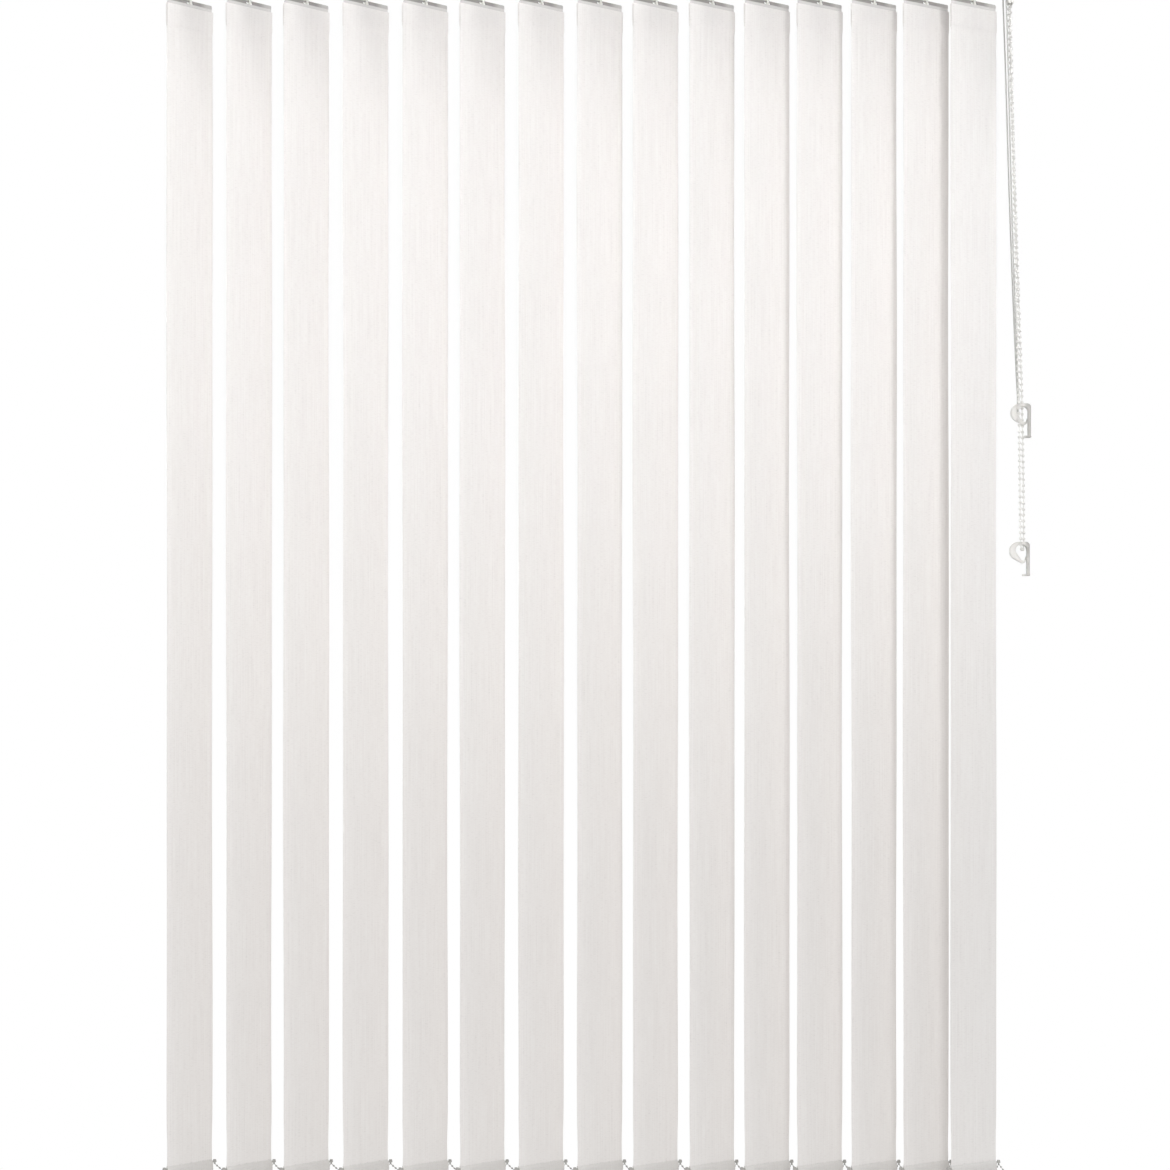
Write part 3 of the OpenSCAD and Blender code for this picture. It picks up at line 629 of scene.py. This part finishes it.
# Painted shade: the pocket's stops are darker, where the weight keeps back light that shines through
# the cloth.
pocket_painted_shade = [(0.12, "#d9d6d3"), (0.48, "#e2e0de")]
free_cloth = [(0.62, "#eeebe9"), (0.8, "#f3f0ee"), (0.98, "#f7f5f3")]
tone = add_node(tree, "ShaderNodeValToRGB", stops=pocket_painted_shade + free_cloth, Fac=stop.outputs[0])
tree.links.new(tone.outputs["Color"], surface.inputs["Base Color"])
print("linen tones:", len(tree.nodes), "nodes, seam", round(SEAM_V, 3), "m down")

# %% [markdown]
# ## The linen-look fabric: weave
#
# A plain weave passes each thread over and under the next. Two crossed waves with a thread every
# 0.7 mm give that relief, and the slubs stand up from it.

# %% Linen weave
THREAD = 0.7 * MM
waves = []
for axis in ("X", "Y"):
    part = add_node(tree, "ShaderNodeSeparateXYZ", Vector=cloth).outputs[axis]
    turn = add_node(tree, "ShaderNodeMath", {"operation": "MULTIPLY"}, _0=part,
                    _1=math.pi / THREAD)
    wave = add_node(tree, "ShaderNodeMath", {"operation": "SINE"}, _0=turn.outputs[0])
    waves.append(wave.outputs[0])
crossing = add_node(tree, "ShaderNodeMath", {"operation": "MULTIPLY"}, _0=waves[0], _1=waves[1])
raised = add_node(tree, "ShaderNodeMath", {"operation": "MULTIPLY_ADD"},
                  _0=slubs, _1=2.0, _2=crossing.outputs[0])
relief = add_node(tree, "ShaderNodeBump", Height=raised.outputs[0], Strength=0.35,
                  Distance=0.05 * MM)
tree.links.new(relief.outputs["Normal"], surface.inputs["Normal"])
print("linen:", len(tree.nodes), "nodes,", round(THREAD / MM, 1), "mm threads")

# %% [markdown]
# ## A strip of cloth
#
# Cloth could be a flat sheet that a simulation hangs. A slat hangs straight and hardly moves, so a
# line of (depth, height) points is enough: it is given the cloth's thickness and width, a slight bow
# between the pockets, and a narrow waist just above the bottom seam, as in the photograph.

# %% Strip helper
FACES_ACROSS = 10
WAIST, WAIST_Z, WAIST_REACH = 1.1, SEAM_Z + 22, 26
FREE_TOP, FREE_BOTTOM, TOP_FADE, BOTTOM_FADE = FABRIC_TOP - 40, SEAM_Z + 10, 200, 120
LEAN, LEAN_L, BOW, BOW_L = 0.5, 210, 0.35, 97
ROLL_STEP = 0.31


def bowed(x, z, shift):
    """How far the cloth stands forward or back at a place: none at the pockets."""
    free = min(1, max(0, (FREE_TOP - z) / TOP_FADE), max(0, (z - FREE_BOTTOM) / BOTTOM_FADE))
    lean = LEAN * math.sin(z / LEAN_L + shift) * (2 * x / SLAT_W)
    return free * (lean + BOW * math.sin(z / BOW_L + 2 * shift))


def add_strip(mesh, line, shift):
    """A strip of cloth along a line: two layers a cloth's thickness apart, closed at its edges."""
    uv = mesh.loops.layers.uv.verify()
    places = {}
    rows, gone = [], 0
    for k, (y, z) in enumerate(line):
        y0, z0 = line[max(k - 1, 0)]
        y1, z1 = line[min(k + 1, len(line) - 1)]
        gone += math.hypot(y - y0, z - z0)
        half = FABRIC_T / 2 / math.hypot(y1 - y0, z1 - z0)
        out_y, out_z = (z1 - z0) * half, (y0 - y1) * half
        width = SLAT_W - 2 * WAIST * math.exp(-((z - WAIST_Z) / WAIST_REACH) ** 2)
        row = []
        for j in range(FACES_ACROSS + 1):
            x = width * (j / FACES_ACROSS - 0.5)
            middle = y + bowed(x, z, shift)
            pair = [mesh.verts.new((x, middle + s * out_y, z + s * out_z)) for s in (-1, 1)]
            for vert in pair:
                places[vert] = (x * MM + ROLL_STEP * shift, gone * MM)
            row.append(pair)
        rows.append(row)
    for a, b in zip(rows, rows[1:]):
        for j in range(FACES_ACROSS):
            for side in (0, 1):
                mesh.faces.new((a[j][side], a[j + 1][side], b[j + 1][side], b[j][side]))
        for j in (0, FACES_ACROSS):
            mesh.faces.new((a[j][0], a[j][1], b[j][1], b[j][0]))
    for row in (rows[0], rows[-1]):
        for j in range(FACES_ACROSS):
            mesh.faces.new((row[j][0], row[j + 1][0], row[j + 1][1], row[j][1]))
    for face in mesh.faces:
        for loop in face.loops:
            if loop.vert in places:
                loop[uv].uv = places[loop.vert]


print("most bow:", LEAN + BOW, "mm")

# %% [markdown]
# ## The slats
#
# A slat is one strip of cloth. It hangs from the top edge, runs round the bottom weight and is
# welded to itself at the seam. A second short strip makes the back of the top pocket. Each slat is
# cut from another stretch of the roll, so that no two show the same threads.

# %% Slats
FRONT, POCKET = 1.05, 1.75
ROLL_SHIFT = 1.7
TOP_POCKET, BOTTOM_POCKET = [FABRIC_TOP, -60, -70, -78], [-1618, -1625, -1632, -1639]
free_z = [-90 - 20 * k for k in range(75)] + [-1585, -1595, -1601]
main_line = (
    [(-FRONT, z) for z in TOP_POCKET] + [(-0.6, -81), (-0.1, -84)]
    + [(0, z) for z in free_z]
    + [(0, SEAM_Z + 3), (0.3, SEAM_Z + 0.8), (0.3, SEAM_Z - 0.6), (-0.6, SEAM_Z - 2)]
    + [(-POCKET, z) for z in [SEAM_Z - 4.5] + BOTTOM_POCKET]
    + arc(0, FABRIC_BOTTOM + 2, POCKET, 180, 360, 8)
    + [(POCKET, z) for z in BOTTOM_POCKET[::-1] + [SEAM_Z - 4.5]]
    + [(1.2, SEAM_Z - 2), (0.9, SEAM_Z + 0.4)]
)
flap_line = [(FRONT, z) for z in TOP_POCKET] + [(0.75, -81), (0.6, -84)]


def at_slat(i):
    """Places a slat's own millimetres in the frame: moved to its hook and turned with it."""
    moved = Matrix.Translation((HOOK_X[i] * MM, 0, 0))
    return moved @ Matrix.Rotation(TURNS[i], 4, "Z") @ Matrix.Scale(MM, 4)


for i, name in enumerate(NAMES):
    mesh = bmesh.new()
    for line in (main_line, flap_line):
        add_strip(mesh, line, i * ROLL_SHIFT)
    make_piece(f"slat_{name}_fabric", mesh, linen, f"slat_{name}", f"slat_{name}",
                            place=at_slat(i))

# %% [markdown]
# ## The hooks
#
# A hook turns its slat: a worm wheel sits on its stem, and its two jaws clip the hanger, with a nib
# in the hanger's slot. The round parts are turned on a lathe, the others are blocks with bevelled
# edges, and all are stamped into one bmesh.

# %% Hook
JAW_IN, JAW_T, HEAD_Z, HANGER_TOP, NIB_Z = 1.1, 1.7, -37, -44, -47.3
JAW_OUT = JAW_IN + JAW_T
WHEEL_TEETH = 12
here = Matrix.Identity(4)


def block(low, high, bevel):
    """A box between two corners with round edges."""
    mesh = bmesh.new()
    size = Vector(high) - Vector(low)
    place = Matrix.Translation((Vector(low) + Vector(high)) / 2) @ Matrix.Diagonal((*size, 1))
    bmesh.ops.create_cube(mesh, size=1, matrix=place)
    bmesh.ops.bevel(mesh, geom=mesh.edges, offset=bevel, offset_type="OFFSET", segments=2,
                    profile=0.5, affect="EDGES", material=-1)
    return mesh


hook = lathe([(0, -37), (2, -36.5), (2, -21.5), (3.45, -21.5), (3.45, -16.5), (1.5, -16.5),
              (1.5, -13.8), (0, -13.4)])
stamp(hook, block((2.95, -0.5, -21.4), (4.25, 0.5, -16.6), 0.15),
      *[Matrix.Rotation(math.tau * k / WHEEL_TEETH, 4, "Z") for k in range(WHEEL_TEETH)])
for low, high, bevel in (
    ((-3.5, -JAW_OUT, HEAD_Z), (3.5, JAW_OUT, HEAD_Z + 5), 0.8),
    ((-1.75, -JAW_OUT, HANGER_TOP - 5.5), (1.75, -JAW_IN, HEAD_Z + 1), 0.5),
    ((-1.75, JAW_IN, HANGER_TOP - 3), (1.75, JAW_OUT, HEAD_Z + 1), 0.5),
):
    stamp(hook, block(low, high, bevel), here)
at_nib = Matrix.Translation((0, -JAW_IN - 0.2, NIB_Z)) @ Matrix.Rotation(-math.pi / 2, 4, "X")
stamp(hook, lathe([(0, 0), (1.3, 0), (1.3, 1.3), (1.0, 1.6), (0, 1.6)]), at_nib)
print("hook:", len(hook.faces), "faces")

# %% [markdown]
# ## The hangers
#
# A hanger is a clear plate with a thicker rim at the top and a slot for the hook's nib. Its UV map
# runs once along it, from the front to the rear, for the material to read.

# %% Hanger
HANGER_W, HANGER_H, RIM_H = 86, 32, 6
SLOT_W, SLOT_H = 12.5, 1.4


def round_corners(width, top, bottom, r):
    """The outline in X and Z of a rectangle with round corners."""
    x, z1, z0 = width / 2 - r, top - r, bottom + r
    upper = arc(x, z1, r, 0, 90, 4) + arc(-x, z1, r, 90, 180, 4)
    return upper + arc(-x, z0, r, 180, 270, 4) + arc(x, z0, r, 270, 360, 4)


hook_slot = round_corners(SLOT_W, NIB_Z + SLOT_H, NIB_Z - SLOT_H, 1.3)
thin = round_corners(HANGER_W, HANGER_TOP, HANGER_TOP - HANGER_H, 1.5)
thick = round_corners(HANGER_W, HANGER_TOP, HANGER_TOP - RIM_H, 1.5)
hanger = plate([thin, hook_slot], 1.2, 0.3)
stamp(hanger, plate([thick, hook_slot], 1.6, 0.3), here)
uv = hanger.loops.layers.uv.verify()
for face in hanger.faces:
    for loop in face.loops:
        loop[uv].uv = (loop.vert.co.x / HANGER_W + 0.5, loop.vert.co.z / HANGER_W)
print("hanger:", len(hanger.faces), "faces")

# %% [markdown]
# ## The bottom weights
#
# A weight is a flat bar that lies in the bottom pocket. At each end an arm carries a round ear with
# a pin, where a link chain hangs. One end is made, and turned half round for the other.

# %% Weight
WEIGHT_W = 84
EAR_U, EAR_TOP, EAR_H = 49.4, -1610, 2.5
weight = plate([round_corners(WEIGHT_W, EAR_TOP - 1, FABRIC_BOTTOM + 4, 2)], 2, 0.4)
ear = lathe([(1.3, -EAR_H), (2.1, -EAR_H), (2.5, 0.4 - EAR_H), (2.5, -0.4), (2.1, 0), (1.3, 0)])
pin = lathe([(0, -4), (0.9, -4), (0.9, 0.2), (2.1, 0.2), (2.1, 1.2), (1.7, 1.6), (0, 1.6)])
arm = block((40, -1, EAR_TOP - EAR_H), (47.6, 1, EAR_TOP), 0.4)
for side in (0, 1):
    at_end = Matrix.Rotation(math.pi * side, 4, "Z")
    stamp(weight, arm, at_end)
    for part in (ear, pin):
        stamp(weight, part, at_end @ Matrix.Translation((EAR_U, 0, EAR_TOP)))
print("weight:", len(weight.faces), "faces")

# %% [markdown]
# ## Fittings on every slat
#
# The three fittings are copied to each slat's place and ride on its body. In the CAD model they are
# three solids of one node, so all three replace it.

# %% Slat fittings
FITTINGS = (("hook", hook, acetal), ("hanger", hanger, polycarbonate), ("weight", weight, pvc))
for i, name in enumerate(NAMES):
    for kind, part, material in FITTINGS:
        make_piece(f"{kind}_{name}", part.copy(), material, f"slat_{name}",
                                f"slat_fittings_{name}", place=at_slat(i))
print("fittings:", len(FITTINGS) * len(NAMES), "pieces")

# %% [markdown]
# ## The link chains
#
# Two fine bead chains join the weights' ears, at the front and at the rear. A chain that hangs
# between two points takes the shape of a catenary, and its size follows from the span and the 92 mm
# of chain, by halving an interval until it fits. The chains draw together as the slats do.

# %% Link chains
LINK_L, LINK_D, LINK_PITCH, LINK_STRING_D = 92, 2.6, 4.6, 1
LINK_Z = -1614
TAIL = [(4.2, -5), (7.6, -10), (11.5, -15)]


def ear_at(i, side):
    """The place in millimetres where a link chain hangs from a slat's front (-1) or rear (1) ear."""
    reach = side * EAR_U
    return Vector((HOOK_X[i] + reach * math.cos(TURNS[i]), reach * math.sin(TURNS[i]), LINK_Z))


def catenary(span, length, count):
    """Points (across, down) on a chain of a length that hangs over a span."""
    low, high = 1.0, 500.0
    for _ in range(50):
        size = (low + high) / 2
        covered = 2 * size * math.asinh(length / 2 / size)
        low, high = (size, high) if covered < span else (low, size)
    stations = [(k / count - 0.5) * length for k in range(count + 1)]
    top = math.hypot(size, length / 2)
    return [(span / 2 + size * math.asinh(s / size), math.hypot(size, s) - top) for s in stations]


for side, label in ((-1, "front"), (1, "rear")):
    ears = [ear_at(i, side) for i in range(len(HOOK_X))]
    points = []
    for start, end in zip(ears, ears[1:]):
        span = (end - start).length
        for across, down in catenary(span, LINK_L, 24)[:-1]:
            points.append(start.lerp(end, across / span) + Vector((0, 0, down)))
    points.append(ears[-1])
    if side > 0:
        points += [ears[-1] + Vector((across, 0, down)) for across, down in TAIL]
    route = [p * MM for p in points]
    mesh = tube(route, LINK_STRING_D / 2 * MM, 6)
    string_beads(mesh, LINK_D * MM, 8, even_points(route, LINK_PITCH * MM))
    body = f"{label}_link_chain"
    chain = make_piece(f"{label}_link_beads", mesh, pvc, body, body)
    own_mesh(chain)
    print(chain.name, round(route_length(route), 3), "m")

# %% [markdown]
# ## Materials of the CAD nodes that stay
#
# The headrail, its end caps and brackets, the rod, sprocket, pulleys and carriers keep their CAD
# shapes, which are right as they are. They only need their finish.

# %% CAD nodes
FINISHES = {"headrail": aluminium, "tilt_rod": aluminium, "ceiling_brackets": steel}
for name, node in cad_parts.items():
    node.data.materials.clear()
    node.data.materials.append(FINISHES.get(name, acetal))
print("CAD nodes with a material:", len(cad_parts))

# %% [markdown]
# ## Background
#
# The studio is white. The background is plain white for the camera, in reflections and through clear
# plastic, and dimmer as a source of light, so that the pale slats don't clip to white.

# %% Studio background
world = bpy.data.worlds.new("studio")
bpy.context.scene.world = world
world.use_nodes = True
tree = world.node_tree
path = add_node(tree, "ShaderNodeLightPath")
seen = path.outputs["Is Camera Ray"]
for ray in ("Is Transmission Ray", "Is Glossy Ray"):
    seen = add_node(tree, "ShaderNodeMath", {"operation": "MAXIMUM"}, _0=seen,
                    _1=path.outputs[ray]).outputs[0]
strength = add_node(tree, "ShaderNodeMapRange", Value=seen, To_Min=0.35, To_Max=1.0)
tree.links.new(strength.outputs["Result"], tree.nodes["Background"].inputs["Strength"])
tree.nodes["Background"].inputs["Color"].default_value = srgb("#ffffff")
bpy.context.scene.view_settings.view_transform = "Standard"
print("world:", world.name, "in", bpy.context.scene.view_settings.view_transform)

# %% [markdown]
# ## Lights
#
# A large light behind the camera reaches between the slats, and a weaker one lights their backs. A
# narrow beam makes the upper half brightest. A faint light at the side stands for the glow that the
# last slat would get from a neighbour. A long light high above leaves the headrail's shadow on the
# upper right of each slat.

# %% Studio lights
def add_light(name, place, aim, size, power, spread=180):
    """A rectangular soft light that points at a place, with its beam's angle in degrees."""
    light = bpy.data.objects.new(name, bpy.data.lights.new(name, "AREA"))
    light.data.shape = "RECTANGLE"
    light.data.size, light.data.size_y = size
    light.data.energy = power
    light.data.spread = math.radians(spread)
    light.location = place
    light.rotation_euler = (Vector(aim) - Vector(place)).to_track_quat("-Z", "Y").to_euler()
    light.visible_camera = False
    bpy.context.scene.collection.objects.link(light)


add_light("front", (0.4, -5.6, -0.6), (0, 0, -0.85), (3.0, 2.5), 131)
add_light("back", (-2.0, 4.0, -0.6), (0, 0, -0.85), (3.0, 2.5), 40)
add_light("beam", (1.3, -5.4, -0.3), (0.3, 0, -0.3), (3.4, 0.5), 3.3, 22)
add_light("side", (3.2, -0.5, -0.85), (0.5, 0, -0.85), (0.8, 2.0), 5)
add_light("overhead", (0.5, -0.95, 4.2), (0, 0, -0.5), (3.0, 0.4), 112)

# %% [markdown]
# ## Floor
#
# The blind hangs well above a plain pale floor. The floor belongs to the studio, not to the part, so
# it is declared as stage.

# %% Floor
FLOOR_Z, FLOOR_HALF = -2.3, 2.2
floor = bpy.data.objects.new("floor", bpy.data.meshes.new("floor"))
mesh = bmesh.new()
bmesh.ops.create_grid(mesh, x_segments=1, y_segments=1, size=FLOOR_HALF,
                      matrix=Matrix.Translation((0, 0, FLOOR_Z)))
mesh.to_mesh(floor.data)
mesh.free()
# Matt floor paint, rolled: an even pale grey with a faint mottle
floor_paint = grained("matt_floor_paint", "floor", ("#e9e8e6", "#efeeec"), (0.7, 0.8),
                      (40, 40, 40), 0.02)
floor.data.materials.append(floor_paint)
bpy.context.scene.collection.objects.link(floor)
floor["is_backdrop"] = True
print("floor at", FLOOR_Z, "m")

# %% Bounds of the CAD model and the visuals
visual_box = [list(corner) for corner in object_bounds()]
for label, box in (("CAD", cad_box), ("visual", visual_box)):
    print(label, [[round(v, 4) for v in corner] for corner in box])
